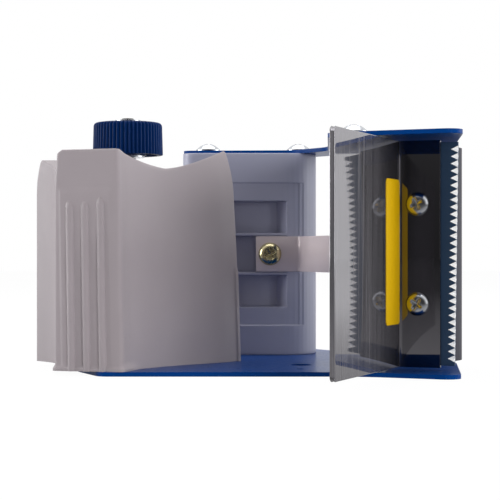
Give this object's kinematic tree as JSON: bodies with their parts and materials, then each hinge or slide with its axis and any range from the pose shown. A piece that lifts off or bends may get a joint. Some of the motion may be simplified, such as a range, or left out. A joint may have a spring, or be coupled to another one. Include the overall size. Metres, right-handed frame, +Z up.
{
  "type": "packing tape dispenser",
  "caption": "Hand-held packing tape dispenser with a braked tape hub, moulded grip, feed roller and a sprung blade guard carrying a toothed cutter.",
  "frame": {"origin": "on the hub axis, on the underside of the main side plate, which the dispenser lies on", "axes": "+Z up along the hub axis, +X towards the cutting end, -Y towards the handle"},
  "size_m": [0.1676, 0.243, 0.0992],
  "materials": {
    "plate_paint": "gloss",
    "housing_plastic": "satin",
    "handle_plastic": "fine texture",
    "zinc_steel": "bright zinc",
    "yellow_zinc": "yellow zinc",
    "rod_steel": "turned",
    "black_steel": "black oxide",
    "spring_steel": "satin",
    "friction_fibre": "pressed fibre",
    "hub_plastic": "satin",
    "bearing_brass": "turned",
    "bush_nylon": "satin",
    "roller_plastic": "smooth",
    "guard_stainless": "polished",
    "blade_steel": "blued",
    "marker_vinyl": "gloss",
    "knob_plastic": "fluted"
  },
  "bodies": {
    "frame": {"main_plate": "plate_paint", "outer_plate": "plate_paint", "body_housing": "housing_plastic", "handle_shell": "handle_plastic", "handle_screws": "zinc_steel", "main_plate_screws": "zinc_steel", "outer_plate_screws": "zinc_steel", "guard_pivot_rod": "rod_steel", "roller_axle": "rod_steel", "leaf_spring": "spring_steel", "leaf_spring_screw": "yellow_zinc", "spindle": "black_steel", "lower_friction_washer": "friction_fibre", "upper_friction_washer": "friction_fibre", "pressure_plate": "zinc_steel", "brake_spring": "spring_steel", "spindle_stop_nut": "zinc_steel"},
    "hub": {"hub_drum": "hub_plastic", "hub_bush": "bearing_brass"},
    "roller": {"roller_tube": "roller_plastic", "roller_bushes": "bush_nylon"},
    "guard": {"blade_guard": "guard_stainless", "cutter_blade": "blade_steel", "blade_screws": "zinc_steel", "blade_nuts": "zinc_steel", "guard_marker": "marker_vinyl"},
    "tension_washer": {"tension_washer": "zinc_steel"},
    "tension_knob": {"tension_knob": "knob_plastic", "knob_insert": "bearing_brass"}
  },
  "joints": [
    {"name": "hub_spin", "type": "hinge", "parent": "frame", "child": "hub", "pos_m": [0, 0, 0.04], "axis": [0, 0, 1], "continuous": true},
    {"name": "roller_spin", "type": "hinge", "parent": "frame", "child": "roller", "pos_m": [0.116, -0.105, 0.0405], "axis": [0, 0, 1], "continuous": true},
    {"name": "guard_swing", "type": "hinge", "parent": "frame", "child": "guard", "pos_m": [0.0878, -0.148, 0.0405], "axis": [0, 0, 1], "range_deg": [-6, 6], "stiffness_Nm_per_rad": 1.5, "deforming": ["leaf_spring"]},
    {"name": "knob_travel", "type": "slide", "parent": "frame", "child": "tension_washer", "axis": [0, 0, -1], "range_m": [0, 0.0024], "deforming": ["brake_spring"]},
    {"name": "knob_turn", "type": "hinge", "parent": "tension_washer", "child": "tension_knob", "pos_m": [0, 0, 0.09], "axis": [0, 0, -1], "range_deg": [0, 1080]}
  ],
  "couplings": [
    {"joint": "knob_travel", "follows": "knob_turn", "m_per_rad": 0.0001273}
  ]
}
